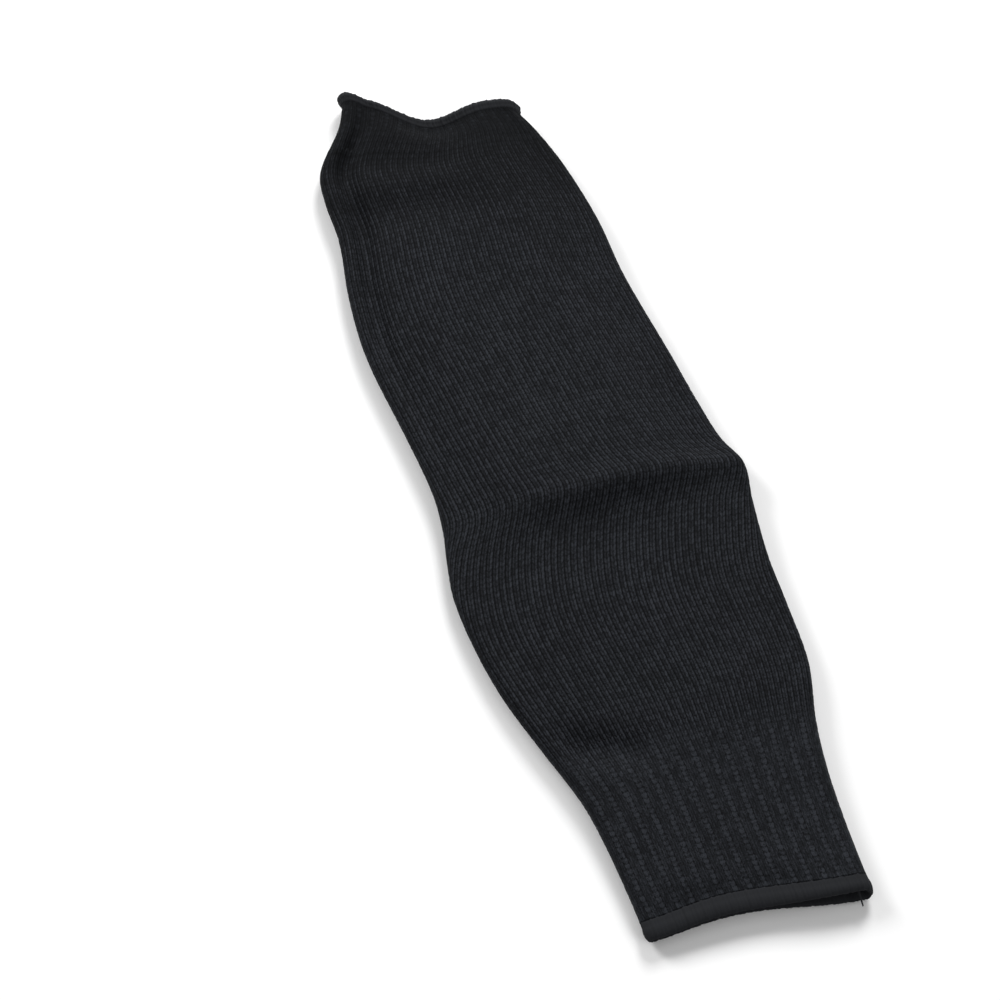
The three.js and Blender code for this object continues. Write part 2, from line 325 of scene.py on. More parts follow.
@dataclass
class LyingTube:
    """The outer face of the whole lying tube, as a function of the place along it and the wale round it."""

    sizes: SleeveSizes
    underside_points: int = 24
    roll_points: int = 28
    top_points: int = 144
    settle_rows: int = 120
    settle_columns: int = 4
    offset: Array = field(default_factory=lambda: np.zeros(3))

    def __post_init__(self) -> None:
        """Makes the smooth curves through the columns of the sections."""
        self.left = self.track(lambda row, size: row.left * size.width)
        self.right = self.track(lambda row, size: row.right * size.width)
        self.room = self.track(lambda row, size: row.rise * (size.height - self.sizes.flat_thickness))
        self.round = self.track(lambda row, size: row.roll)
        self.skew = self.track(lambda row, size: row.skew * size.width / 2)
        self.bow = self.track(lambda row, size: row.bow * size.width)
        self.lean = self.track(lambda row, size: row.lean)
        self.lap = self.track(lambda row, size: row.lap * size.height)
        body = self.sizes.stretch(Stretch.BODY)
        places = [body.start + row.at * body.length for row in DRIFTS]
        self.drift = Track(places, [row.ribs for row in DRIFTS])

    def track(self, value: Callable[[Section, StretchSize], float]) -> Track:
        """Makes the smooth curve through one column of the sections.

        Args:
            value: gives a section's value in metres, or as a share where it has no size.

        Returns:
            The curve.
        """
        rows = [(row, self.sizes.stretch(row.stretch)) for row in SECTIONS]
        places = [size.start + row.at * size.length for row, size in rows]
        return Track(places, [value(*pair) for pair in rows])

    def crease_share(self, y: Array, across: Array, half: Array) -> Array:
        """Adds up the creases, each height * fade * exp(-(distance / breadth)^2).

        Args:
            y: places along the sleeve, one a row.
            across: shares of the half width, one a point.
            half: the half width of each row.

        Returns:
            The share of the room that the creases add at each point.
        """
        share = np.zeros(np.broadcast(y, across).shape)
        for crease in CREASES:
            size = self.sizes.stretch(crease.stretch)
            from_x, from_y = crease.start[1] * half, size.start + crease.start[0] * size.length
            run_x, run_y = crease.end[1] * half - from_x, size.start + crease.end[0] * size.length - from_y
            off_x, off_y = across * half - from_x, y - from_y
            along = (off_x * run_x + off_y * run_y) / (run_x**2 + run_y**2)
            distance = np.hypot(off_x - along * run_x, off_y - along * run_y) / (crease.breadth * size.width)
            fade = smoothstep(np.minimum(along, 1.0 - along), 0.0, CREASE_TAPER)
            share += crease.height * fade * np.exp(-(distance**2))
        return share

    def path(self) -> tuple[Array, Array, Array, Array]:
        """Lists the points of a section, from the middle of the underside to the right, over and back.

        Returns:
            a, b, c and d, with which x = a flat + b roll and z = c roll + d (rise - 2 roll).
        """
        run = np.arange(self.underside_points) / self.underside_points
        turn = np.pi * np.arange(self.roll_points) / self.roll_points
        across = 1.0 - 2.0 * np.arange(self.top_points) / self.top_points
        level, lift = np.zeros_like(run), np.zeros_like(turn)
        right, left = turn - np.pi / 2, turn + np.pi / 2
        a = np.concatenate([run, lift + 1.0, across, lift - 1.0, run - 1.0])
        b = np.concatenate([level, np.cos(right), 0.0 * across, np.cos(left), level])
        c = np.concatenate([level, 1.0 + np.sin(right), 0.0 * across + 2.0, 1.0 + np.sin(left), level])
        d = np.concatenate([level, lift, (1.0 - np.abs(across) ** CROWN_POWER) ** 2, lift, level])
        return a, b, c, d

    def sections(self, y: Array) -> tuple[Array, Array, Array]:
        """Works out whole sections.

        The folded side's radius is wall + roundness * (rise / 2 - wall), and a point's place along the
        sleeve is y - skew across + bow (1 - across^2)^2 (1 + lean across) - lap (1 - z / rise).

        Args:
            y: places along the sleeve.

        Returns:
            Points and outward directions of each section, and each point's share of the way round.
        """
        y = np.asarray(y, float)[:, None]
        skew = self.skew(y)
        left, right = self.left(y + skew), self.right(y - skew)
        half, middle, room = (right - left) / 2, (right + left) / 2, self.room(y)
        rise = self.sizes.flat_thickness + room
        roll = self.sizes.wall + self.round(y) * (rise / 2 - self.sizes.wall)
        a, b, c, d = self.path()
        x = a * (half - roll) + b * roll
        z = c * roll + d * (rise - 2 * roll)
        z = z + smoothstep(z, 0.0, 2 * roll) * room * self.crease_share(y, x / half, half)
        step_x = np.roll(x, -1, axis=1) - np.roll(x, 1, axis=1)
        step_z = np.roll(z, -1, axis=1) - np.roll(z, 1, axis=1)
        across = x / half
        bowed = self.bow(y) * (1.0 - across**2) ** 2 * (1.0 + self.lean(y) * across)
        along = y - skew * across + bowed - self.lap(y) * (1.0 - z / rise)
        points = np.stack([middle + x, along, z], axis=2)
        out = np.stack([step_z, 0.0 * step_z, -step_x], axis=2) / np.hypot(step_x, step_z)[..., None]
        walked = np.hypot(np.roll(x, -1, axis=1) - x, np.roll(z, -1, axis=1) - z)
        shares = np.cumsum(walked, axis=1) - walked
        return points, out, shares / walked.sum(axis=1, keepdims=True)

    def grid(self, y: Array, wales: Array) -> tuple[Array, Array]:
        """Works out a grid of the outer face.

        A wale's share of the way round is (wale - 1/2) / wales, plus the drift in ribs / ribs.

        Args:
            y: places along the sleeve, one a row.
            wales: wales round the tube, one a column, whole at a wale's edge.

        Returns:
            Points in the frame and outward directions, each rows by columns by 3.
        """
        points, out, shares = self.sections(y)
        rows = np.arange(len(y))[:, None]
        drift = self.drift(np.asarray(y, float))[:, None] / self.sizes.ribs
        turned = (wales - 0.5) / self.sizes.wales + drift
        wanted = 2.0 * rows + np.mod(turned, 1.0)
        known = (2.0 * rows + np.concatenate([shares, np.ones((len(y), 1))], axis=1)).ravel()

        def mixed(values: Array) -> Array:
            """Reads one coordinate at the wanted shares, on all the rows at once.

            Args:
                values: the coordinate at each point of the sections.

            Returns:
                The coordinate at each point of the grid.
            """
            closed = np.concatenate([values, values[:, :1]], axis=1)
            return np.interp(wanted.ravel(), known, closed.ravel()).reshape(wanted.shape)

        place = np.stack([mixed(points[..., axis]) for axis in range(3)], axis=2)
        outward = np.stack([mixed(out[..., axis]) for axis in range(3)], axis=2)
        return place + self.offset, outward / np.linalg.norm(outward, axis=2, keepdims=True)

    def settle(self, lowest: Vector, highest: Vector) -> None:
        """Moves the tube so that its plain body fills the frame's own box of it.

        Args:
            lowest: the lowest corner of the frame's box.
            highest: the highest corner.
        """
        start = self.sizes.body_start + self.sizes.join_gap
        rows = np.linspace(start, self.sizes.body_end, self.settle_rows)
        columns = np.arange(self.settle_columns * self.sizes.wales) / self.settle_columns
        body, _ = self.grid(rows, columns)
        body = body.reshape(-1, 3)
        middle = (np.array(lowest) + np.array(highest) - body.min(axis=0) - body.max(axis=0)) / 2
        self.offset = np.array([middle[0], middle[1], 0.0])


def ring_faces(near: Array, far: Array) -> Array:
    """Joins two rings of equal numbers of points by quads that face out.

    Args:
        near: vertex numbers of one ring.
        far: vertex numbers of the next ring on.

    Returns:
        One row of four vertex numbers a face.
    """
    return np.stack([near, far, np.roll(far, -1), np.roll(near, -1)], axis=1)


def add_object(name: str, data: bpy.types.ID) -> bpy.types.Object:
    """Adds an object at the origin.

    Args:
        name: the object's name.
        data: its mesh, light or camera.

    Returns:
        The object, linked to the scene.
    """
    made = bpy.data.objects.new(name, data)
    bpy.context.scene.collection.objects.link(made)
    return made


def make_mesh(
    name: str,
    vertices: Array,
    faces: Sequence[Array],
    uvs: Sequence[Array],
    flat_blocks: int = 0,
) -> bpy.types.Object:
    """Makes a smooth mesh object at the origin.

    Args:
        name: the object's name.
        vertices: one row a point.
        faces: arrays of vertex numbers, one row a face.
        uvs: arrays as long as the faces, with the pair of coordinates of each corner.
        flat_blocks: how many of the last arrays of faces are shaded flat.

    Returns:
        The object, linked to the scene.
    """
    mesh = bpy.data.meshes.new(name)
    mesh.from_pydata(vertices.tolist(), [], [row for block in faces for row in block.tolist()])
    layer = mesh.uv_layers.new(name="knit")
    layer.data.foreach_set("uv", np.concatenate([block.reshape(-1) for block in uvs]).astype(np.float32))
    last = len(faces) - flat_blocks
    smooth = np.concatenate([np.full(len(block), k < last) for k, block in enumerate(faces)])
    mesh.polygons.foreach_set("use_smooth", smooth)
    mesh.update()
    return add_object(name, mesh)


@dataclass(frozen=True)
class StitchRelief:
    """Depths of the stitches below the outermost yarn.

    wale_valley lies between two wales, leg_valley between the two legs of a stitch, course_dip where a
    stitch passes through the next, hole where four stitches meet, and purl_bump is how far a purl loop
    stands out of its valley. uneven is how much single stitches differ. slant is how far a leg leans along
    the sleeve over half a wale, in courses, and sag the same for a purl loop.
    """

    wale_valley: float = 0.00032
    leg_valley: float = 0.00012
    course_dip: float = 0.00005
    hole: float = 0.0001
    purl_bump: float = 0.00012
    uneven: float = 0.00016
    slant: float = 0.5
    sag: float = 0.18


FAR_AWAY = 1.0e6


class Edge(Enum):
    """What a knitted stretch meets at one of its ends."""

    WELT = "welt"
    KNIT = "knit"


@dataclass
class KnitWall:
    """One knitted stretch of the tube: a closed wall with its stitches in relief on the outer face.

    cut is the flat size, round the tube by along it, and is not used. edges is what the lower and the upper
    end meet.
    The relief of a rib's knit wales is rib_calm of the plain knit's. Its purl wale lies rib_depth lower, in
    full up to purl_inner wales off its middle and not at all past purl_outer. Ribs grow out of plain knit
    over ramp_courses, and the relief fades out over fade_courses at a welt. The wall reaches seam_lap past
    both ends, and where its upper end meets knit it lies seam_lift over it. painted_shade_tones are painted
    shade: the knit's shares of brightness at the lower and the upper end, darker towards the upper rim.
    """

    sizes: SleeveSizes
    name: str
    slot: str
    start: float
    end: float
    ribbed: bool
    columns_per_wale: int
    rows_per_course: int
    inner_rows: int
    cut: Pair
    edges: tuple[Edge, Edge]
    rib_depth: float = 0.0003
    rib_calm: float = 0.45
    purl_inner: float = 0.4
    purl_outer: float = 0.85
    # painted shade: the knit's share of brightness at the lower and the upper end, darker towards the upper
    # rim
    painted_shade_tones: Pair = (1.0, 1.0)
    seam_lap: float = 0.00035
    seam_lift: float = 0.00006
    fade_courses: float = 1.0
    ramp_courses: float = 6.0
    stitch_seed: int = 5
    relief: StitchRelief = field(default_factory=StitchRelief)

    @property
    def course_count(self) -> int:
        """Rows of stitches along the piece."""
        return round((self.end - self.start) / self.sizes.course)

    def purl(self, wales: Array, courses: Array) -> Array:
        """Says how far a place belongs to the purl valley of a rib, from 0 to 1.

        Args:
            wales: wales round the tube.
            courses: courses along the piece.

        Returns:
            1 in the middle of the last wale of each rib, and 0 past its edges and where it meets plain knit.
        """
        whole = self.sizes.wales_per_rib
        away = np.abs(np.mod(wales, whole) - (whole - 0.5))
        away = np.minimum(away, whole - away)
        ramp = smoothstep(self.from_edges(courses, Edge.KNIT), 0.0, self.ramp_courses)
        return (1.0 - smoothstep(away, self.purl_inner, self.purl_outer)) * ramp * float(self.ribbed)

    def depth(self, wales: Array, courses: Array) -> Array:
        """Works out how far the yarn lies below the outer face.

        On a knit wale it is wale_valley c^2 for the outer valleys and leg_valley c^2 between the legs, with
        c = cos(2 pi wale), plus course_dip cos^2(pi course), plus the hole where both are deepest. It is
        calmer on a rib, and its valleys are half as deep where the piece meets other knit. On a purl wale
        it is rib_depth less purl_bump sin^2(pi course). Each stitch is a little higher or lower than the
        next.

        Args:
            wales: wales round the tube, along the columns.
            courses: courses along the piece, down the rows.

        Returns:
            The depth at each point, in metres.
        """
        swing = np.cos(2.0 * np.pi * wales)
        ramp = smoothstep(self.from_edges(courses, Edge.KNIT), 0.0, self.ramp_courses)
        calm = 1.0 - (1.0 - self.rib_calm) * ramp * float(self.ribbed)
        valley = np.where(swing > 0.0, calm * self.relief.wale_valley, self.relief.leg_valley) * swing**2
        passing = np.cos(np.pi * courses) ** 2
        valley = valley * smoothstep(self.from_edges(courses, Edge.KNIT), -1.0, 1.0)
        hole = self.relief.hole * np.maximum(swing, 0.0) ** 2
        knit = valley + calm * passing * (self.relief.course_dip + hole)
        purl = self.rib_depth - self.relief.purl_bump * (1.0 - passing)
        share = self.purl(wales, courses)
        draws = np.random.default_rng(self.stitch_seed)
        stitches = draws.uniform(0.0, 1.0, (self.course_count + 1, self.sizes.wales))
        own = stitches[np.floor(courses).astype(int), np.floor(wales).astype(int)[None, :]]
        own = own * self.relief.uneven * (1.0 - passing)
        return knit * (1.0 - share) + purl * share + own

    def from_edges(self, courses: Array, kind: Edge) -> Array:
        """Counts the courses from the nearer of the ends that meet one kind of neighbour.

        Args:
            courses: courses along the piece.
            kind: the kind of neighbour.

        Returns:
            The count at each place, FAR_AWAY where no end is of that kind.
        """
        counts = [np.full(courses.shape, FAR_AWAY)]
        counts += [courses] if self.edges[0] is kind else []
        counts += [courses[-1] - courses] if self.edges[1] is kind else []
        return np.minimum.reduce(counts)

    def lean(self, wales: Array, courses: Array) -> Array:
        """Works out how far a stitch's yarn is carried along the sleeve, in courses.

        A knit leg leans by slant (2 |p - 1/2| - 1/2), with p the place within the wale, and a purl loop
        hangs in an arc, slant / 2 - sag (1 - (2p - 1)^2).

        Args:
            wales: wales round the tube.
            courses: courses along the piece.

        Returns:
            The shift of each point, in courses.
        """
        place = np.mod(wales, 1.0)
        knit = self.relief.slant * (2.0 * np.abs(place - 0.5) - 0.5)
        purl = self.relief.slant / 2 - self.relief.sag * (1.0 - (2.0 * place - 1.0) ** 2)
        share = self.purl(wales, courses)
        return knit * (1.0 - share) + purl * share

    def build(self, tube: LyingTube) -> bpy.types.Object:
        """Builds the piece: the outer face in relief, the inner face and the two ends.

        Args:
            tube: the lying tube.

        Returns:
            The piece, named.
        """
        sizes = self.sizes
        rows = self.course_count * self.rows_per_course + 1
        columns = sizes.wales * self.columns_per_wale
        wales = np.arange(columns) / self.columns_per_wale
        y = np.linspace(self.start - self.seam_lap, self.end + self.seam_lap, rows)
        courses = np.linspace(0.0, self.course_count, rows)[:, None]
        outer, out = tube.grid(y, wales)
        along = np.gradient(outer, y, axis=0)
        around = np.roll(outer, -1, axis=1) - np.roll(outer, 1, axis=1)
        normal = np.cross(along, around)
        normal /= np.linalg.norm(normal, axis=2, keepdims=True)
        ends = smoothstep(self.from_edges(courses, Edge.WELT), 0.0, self.fade_courses)
        shift = self.lean(wales, courses) * sizes.course * ends
        upper_end = 1.0 - smoothstep(courses[-1] - courses, 0.0, 1.0)
        lift = self.seam_lift * upper_end * (self.edges[1] is Edge.KNIT)
        depth = self.depth(wales, courses) * ends - lift
        outer = outer + along * shift[..., None] - normal * depth[..., None]
        outer[..., 2] = np.maximum(outer[..., 2], 0.0)

        inner_y = np.linspace(y[0], y[-1], self.inner_rows)
        inner, inward = tube.grid(inner_y, np.arange(sizes.wales, dtype=float))
        inner = (inner - sizes.wall * inward)[::-1]
        return self.close(outer, inner)

    def close(self, outer: Array, inner: Array) -> bpy.types.Object:
        """Joins the outer face and the coarser inner face into one closed wall.

        Args:
            outer: rows by columns of the outer face, from the wrist up.
            inner: rows by wales of the inner face, from the upper end down.

        Returns:
            The piece.
        """
        rows, columns = outer.shape[:2]
        fine = np.arange(rows * columns).reshape(rows, columns)
        coarse = rows * columns + np.arange(inner.shape[0] * inner.shape[1]).reshape(inner.shape[:2])
        fine_u = np.arange(columns + 1) / columns
        coarse_u = np.arange(self.sizes.wales + 1) / self.sizes.wales
        blocks = [
            self.band(fine, fine_u, np.linspace(0.0, 1.0, rows)),
            self.band(coarse, coarse_u, np.linspace(1.0, 0.0, len(coarse))),
            *self.end_band(fine[-1], coarse[0], 1.0, True),
            *self.end_band(fine[0], coarse[-1], 0.0, False),
        ]
        vertices = np.concatenate([outer.reshape(-1, 3), inner.reshape(-1, 3)])
        flat_blocks = len(blocks) - 2
        faces, corners = zip(*blocks)
        return make_mesh(self.name, vertices, faces, corners, flat_blocks)

    @staticmethod
    def band(numbers: Array, u: Array, v: Array) -> Block:
        """Makes the quads of a grid that closes on itself round the tube.

        Args:
            numbers: vertex numbers, rows by columns.
            u: coordinate round, one more than the columns.
            v: coordinate along, one a row.

        Returns:
            The faces, and the pair of coordinates of each corner.
        """
        faces = np.concatenate([ring_faces(near, far) for near, far in zip(numbers[:-1], numbers[1:])])
        near_u, far_u = np.tile(u[:-1], len(v) - 1), np.tile(u[1:], len(v) - 1)
        near_v, far_v = np.repeat(v[:-1], len(u) - 1), np.repeat(v[1:], len(u) - 1)
        corners = ((near_u, near_v), (near_u, far_v), (far_u, far_v), (far_u, near_v))
        return faces, np.stack([np.stack(corner, axis=1) for corner in corners], axis=1)

    @staticmethod
    def end_band(fine: Array, coarse: Array, v: float, upper: bool) -> list[Block]:
        """Closes one end of the wall between its fine outer ring and its coarse inner one, by triangles.

        Args:
            fine: vertex numbers of the outer ring.
            coarse: vertex numbers of the inner ring.
            v: coordinate along at this end.
            upper: whether this is the upper end, whose faces turn the other way.

        Returns:
            Two blocks of faces with the coordinates of their corners.
        """
        ratio = len(fine) // len(coarse)
        spot = np.arange(len(fine))
        whole = np.arange(len(coarse))
        by_fine = np.stack([spot, spot // ratio, spot + 1], axis=1)
        by_coarse = np.stack([(whole + 1) * ratio, whole, whole + 1], axis=1)
        blocks = []
        for corners, counts in ((by_fine, (len(fine), len(coarse), len(fine))),
                                (by_coarse, (len(fine), len(coarse), len(coarse)))):
            rings = [fine if count == len(fine) else coarse for count in counts]
            numbers = [ring[corners[:, k] % len(ring)] for k, ring in enumerate(rings)]
            along = np.full(len(corners), v)
            pairs = [np.stack([corners[:, k] / counts[k], along], axis=1) for k in range(3)]
            order = (0, 1, 2) if upper else (0, 2, 1)
            faces = np.stack([numbers[k] for k in order], axis=1)
            blocks.append((faces, np.stack([pairs[k] for k in order], axis=1)))
        return blocks


@dataclass
class RolledWelt:
    """A rolled and overlocked edge: an oval section carried round the middle of the wall's end.

    beyond is 1 where the welt lies above its wall and -1 where below. It reaches tuck over the wall. lumps
    are how many waves each slow sine makes round the edge, each lump_phase after the last, and the welt's
    length follows them by lump_reach. The thread starts thread_inset from the right side, on the top,
    where the outward direction's upward share is over thread_top, and thins by thread_taper.
    """

    name: str
    slot: str
    wall_end: float
    beyond: int
    length: float
    columns_per_wale: int = 6
    facets: int = 28
    tuck: float = 0.0011
    slim_top: float = 1.0
    slim_under: float = 1.0
    groove_turn: float = 0.75
    groove_breadth: float = 0.2
    groove_depth: float = 0.0004
    lump_height: float = 0.0004
    lumps: tuple[int, ...] = (31, 53, 83, 127)
    lump_phase: float = 1.7
    lump_reach: float = 0.6
    lip: float = 0.0
    thread_end: bool = False
    thread_inset: float = 0.0055
    thread_top: float = 0.3
    thread_way: Triple = (0.0005, -0.0085, -0.003)
    thread_bend: float = 0.0006
    thread_radius: float = 0.0006
    thread_taper: float = 0.5
    thread_rings: int = 8
    thread_sides: int = 10

    def build(self, tube: LyingTube) -> bpy.types.Object:
        """Builds the welt.

        A point of the oval is pushed out by sin(turn) thickness / 2 and along by -cos(turn) length / 2. A
        groove runs where the roll meets the stitching, and slow sines round the edge make it uneven.
        slim_top and slim_under are how much of the thickness the top and the underside keep, and lip is how
        much further out than the top the underside reaches towards the right.

        Args:
            tube: the lying tube.

        Returns:
            The piece.
        """
        sizes = tube.sizes
        columns = sizes.wales * self.columns_per_wale
        wales = np.arange(columns) / self.columns_per_wale
        edge, out = tube.grid(np.array([self.wall_end]), wales)
        centre = edge[0] - out[0] * sizes.wall / 2
        centre[:, 1] += self.beyond * (sizes.join_gap + self.length / 2)
        centre[:, 2] = np.maximum(centre[:, 2], sizes.welt_thickness / 2)
        turn = (2.0 * np.pi * np.arange(self.facets) / self.facets)[:, None]
        round_way = 2.0 * np.pi * np.arange(columns) / columns
        uneven = sum(np.sin(count * round_way + self.lump_phase * k) for k, count in enumerate(self.lumps))
        uneven = self.lump_height * uneven / len(self.lumps)
        inner_side = 0.0 if self.beyond > 0 else np.pi
        away = np.abs(np.angle(np.exp(1j * (turn - inner_side))))
        off_groove = (away - self.groove_turn * np.pi / 2) / self.groove_breadth
        groove = self.groove_depth * np.exp(-(off_groove**2))
        lower = (1.0 - out[0][:, 2]) / 2
        slim = self.slim_top + (self.slim_under - self.slim_top) * lower
        thick = (sizes.welt_thickness / 2 + uneven - groove) * slim
        right = smoothstep(centre[:, 0], centre[:, 0].mean(), centre[:, 0].max())
        lip = self.lip * right * (lower - 0.5) * (away > np.pi / 2)
        tuck = self.tuck * (away < np.pi / 2)
        long = self.length / 2 + tuck + self.lump_reach * uneven - groove + lip
        points = centre[None, :, :] + (np.sin(turn) * thick)[..., None] * out
        points[..., 1] -= np.cos(turn) * long
        points[..., 2] = np.maximum(points[..., 2], 0.0)
        numbers = np.arange(self.facets * columns).reshape(self.facets, columns)
        closed = np.concatenate([numbers, numbers[:1]])
        u = np.arange(columns + 1) / columns
        blocks = [KnitWall.band(closed, u, np.linspace(0.0, 1.0, self.facets + 1))]
        vertices = points.reshape(-1, 3)
        if self.thread_end:
            side = centre[:, 0].max() - self.thread_inset
            column = np.argmin(np.abs(centre[:, 0] - side) + (out[0][:, 2] < self.thread_top))
            end, more = self.loose_end(centre[column], len(vertices))
            vertices = np.concatenate([vertices, end])
            blocks += more
        faces, corners = zip(*blocks)
        return make_mesh(self.name, vertices, faces, corners)

    def loose_end(self, root: Array, first: int) -> tuple[Array, list[Block]]:
        """Makes the loose end of thread that hangs out of the edge: a thin closed tube, of one tone.

        Args:
            root: where it starts, inside the welt.
            first: the number of its first vertex.

        Returns:
            Its vertices, and blocks of faces with the coordinates of their corners.
        """
        way = np.array(self.thread_way)
        side = np.cross(way, (0.0, 0.0, 1.0))
        side /= np.linalg.norm(side)
        up = np.cross(side, way) / np.linalg.norm(way)
        share = np.linspace(0.0, 1.0, self.thread_rings)[:, None, None]
        turn = -2.0 * np.pi * np.arange(self.thread_sides)[None, :, None] / self.thread_sides
        radius = self.thread_radius * (1.0 - self.thread_taper * share)
        bend = self.thread_bend * share**2 * side
        tube = root + share * way + bend + radius * (np.cos(turn) * side + np.sin(turn) * up)
        rings = first + np.arange(self.thread_rings * self.thread_sides).reshape(self.thread_rings, -1)
        sides = np.concatenate([ring_faces(near, far) for near, far in zip(rings[:-1], rings[1:])])
        blocks = [sides, rings[:1], rings[-1:, ::-1]]
        return tube.reshape(-1, 3), [(faces, np.full((*faces.shape, 2), 0.5)) for faces in blocks]


Feed = Union["ShaderValue", bpy.types.NodeSocket, float, Sequence[float]]


class ShaderValue:
    """A number that varies over a surface: a socket that takes part in Python arithmetic."""

    def __init__(self, bench: "NodeBench", socket: bpy.types.NodeSocket) -> None:
        """Keeps the socket and the bench.

        Args:
            bench: where the value's maths is added.
            socket: the socket that gives the value.
        """
        self.bench = bench
        self.socket = socket

    def math(self, operation: str, *others: Feed, clamp: bool = False) -> "ShaderValue":
        """Adds one Math node.

        Args:
            operation: Blender's name of the operation.
            others: the operation's other values.
            clamp: whether the result is kept between 0 and 1.

        Returns:
            The result.
        """
        settings = {"operation": operation, "use_clamp": clamp}
        made = self.bench.node("ShaderNodeMath", settings, dict(enumerate((self, *others))))
        return ShaderValue(self.bench, made.outputs[0])

    def __add__(self, other: Feed) -> "ShaderValue":
        """self + other"""
        return self.math("ADD", other)

    def __radd__(self, other: Feed) -> "ShaderValue":
        """other + self"""
        return self.math("ADD", other)

    def __sub__(self, other: Feed) -> "ShaderValue":
        """self - other"""
        return self.math("SUBTRACT", other)

    def __rsub__(self, other: Feed) -> "ShaderValue":
        """other - self"""
        return self.math("MULTIPLY_ADD", -1.0, other)

    def __mul__(self, other: Feed) -> "ShaderValue":
        """self * other"""
        return self.math("MULTIPLY", other)

    def __pow__(self, power: float) -> "ShaderValue":
        """self raised to a power"""
        return self.math("POWER", power)

    def __abs__(self) -> "ShaderValue":
        """The size of self without its sign"""
        return self.math("ABSOLUTE")

    def fraction(self) -> "ShaderValue":
        """What is left over the whole number below"""
        return self.math("FRACT")

    def kept(self) -> "ShaderValue":
        """self, kept between 0 and 1"""
        return self.math("ADD", 0.0, clamp=True)

    def varied(self, noise: "ShaderValue", share: float) -> "ShaderValue":
        """Makes the value uneven.

        Args:
            noise: a number from 0 to 1.
            share: how much weaker the value is where the noise is 0, and stronger where it is 1.

        Returns:
            The uneven value.
        """
        return self * (1.0 + (noise - 0.5) * (2.0 * share))


class NodeBench:
    """A material's node tree, and the one way that nodes are added to it."""

    def __init__(self, name: str) -> None:
        """Makes an empty material.

        Args:
            name: the material's name.
        """
        self.material = bpy.data.materials.new(name)
        self.material.use_nodes = True
        self.tree = self.material.node_tree
        self.tree.nodes.clear()

    def node(self, kind: str, settings: dict, feeds: dict[Union[str, int], Feed]) -> bpy.types.Node:
        """Adds a node.

        Args:
            kind: Blender's type of node.
            settings: the node's own settings, set first.
            feeds: values or links of its input sockets, by name or number.

        Returns:
            The node.
        """
        made = self.tree.nodes.new(kind)
        for name, value in settings.items():
            setattr(made, name, value)
        for name, feed in feeds.items():
            socket = made.inputs[name]
            source = feed.socket if isinstance(feed, ShaderValue) else feed
            if isinstance(source, bpy.types.NodeSocket):
                self.tree.links.new(source, socket)
            else:
                socket.default_value = source
        return made

    def noise(self, scale: float, detail: float, stretch: Triple = (1.0, 1.0, 1.0)) -> ShaderValue:
        """Adds noise on the object's own coordinates.

        Args:
            scale: lumps a metre.
            detail: how many finer layers.
            stretch: the scale along each axis, as shares of the first.

        Returns:
            The noise, about 1/2 in the middle.
        """
        places = self.node("ShaderNodeTexCoord", {}, {})
        mapped = self.node("ShaderNodeMapping", {}, {"Vector": places.outputs["Object"], "Scale": stretch})
        feeds = {"Vector": mapped.outputs[0], "Scale": scale, "Detail": detail}
        return ShaderValue(self, self.node("ShaderNodeTexNoise", {}, feeds).outputs["Fac"])

    def uv(self, round_count: float, along_count: float) -> tuple[ShaderValue, ShaderValue]:
        """Reads the piece's own map.

        Args:
            round_count: what u is multiplied by.
            along_count: what v is multiplied by.

        Returns:
            The two coordinates.
        """
        places = self.node("ShaderNodeUVMap", {"uv_map": "knit"}, {})
        parts = self.node("ShaderNodeSeparateXYZ", {}, {0: places.outputs[0]})
        round_way = ShaderValue(self, parts.outputs[0]) * round_count
        return round_way, ShaderValue(self, parts.outputs[1]) * along_count

    def cells(self, round_way: ShaderValue, along: ShaderValue) -> ShaderValue:
        """Gives each whole cell of two coordinates its own number from 0 to 1.

        Args:
            round_way: the first coordinate.
            along: the second coordinate.

        Returns:
            The cell's number.
        """
        corner = self.node("ShaderNodeCombineXYZ", {}, {0: round_way.math("FLOOR"), 1: along.math("FLOOR")})
        settings = {"noise_dimensions": "2D"}
        made = self.node("ShaderNodeTexWhiteNoise", settings, {"Vector": corner.outputs[0]})
        return ShaderValue(self, made.outputs["Value"])

    def mix_colour(self, share: Feed, low: Feed, high: Feed) -> bpy.types.NodeSocket:
        """Mixes two colours.

        Args:
            share: how much of the second colour there is.
            low: the first colour.
            high: the second colour.

        Returns:
            The mixed colour.
        """
        made = self.node("ShaderNodeMix", {"data_type": "RGBA"}, {"Factor": share, "A": low, "B": high})
        return made.outputs["Result"]

    def finish(
        self, colour: Feed, roughness: Feed, height: Feed, bump: Pair, specular: float
    ) -> bpy.types.Material:
        """Adds the bump and the surface itself.

        Args:
            colour: the surface's colour.
            roughness: its roughness.
            height: the height of its fine relief, from 0 to 1.
            bump: the bump's strength, and its depth in metres.
            specular: the strength of its reflections.

        Returns:
            The material.
        """
        strength, depth = bump
        relief = self.node("ShaderNodeBump", {}, {"Strength": strength, "Distance": depth, "Height": height})
        feeds = {"Base Color": colour, "Roughness": roughness, "Normal": relief.outputs[0]}
        return self.surface(feeds | {"Specular IOR Level": specular})

    def surface(self, feeds: dict[str, Feed]) -> bpy.types.Material:
        """Adds the shader and the material's output.

        Args:
            feeds: values or links of the shader's sockets, by name.

        Returns:
            The material.
        """
        shader = self.node("ShaderNodeBsdfPrincipled", {}, feeds)
        self.node("ShaderNodeOutputMaterial", {}, {"Surface": shader.outputs[0]})
        return self.material


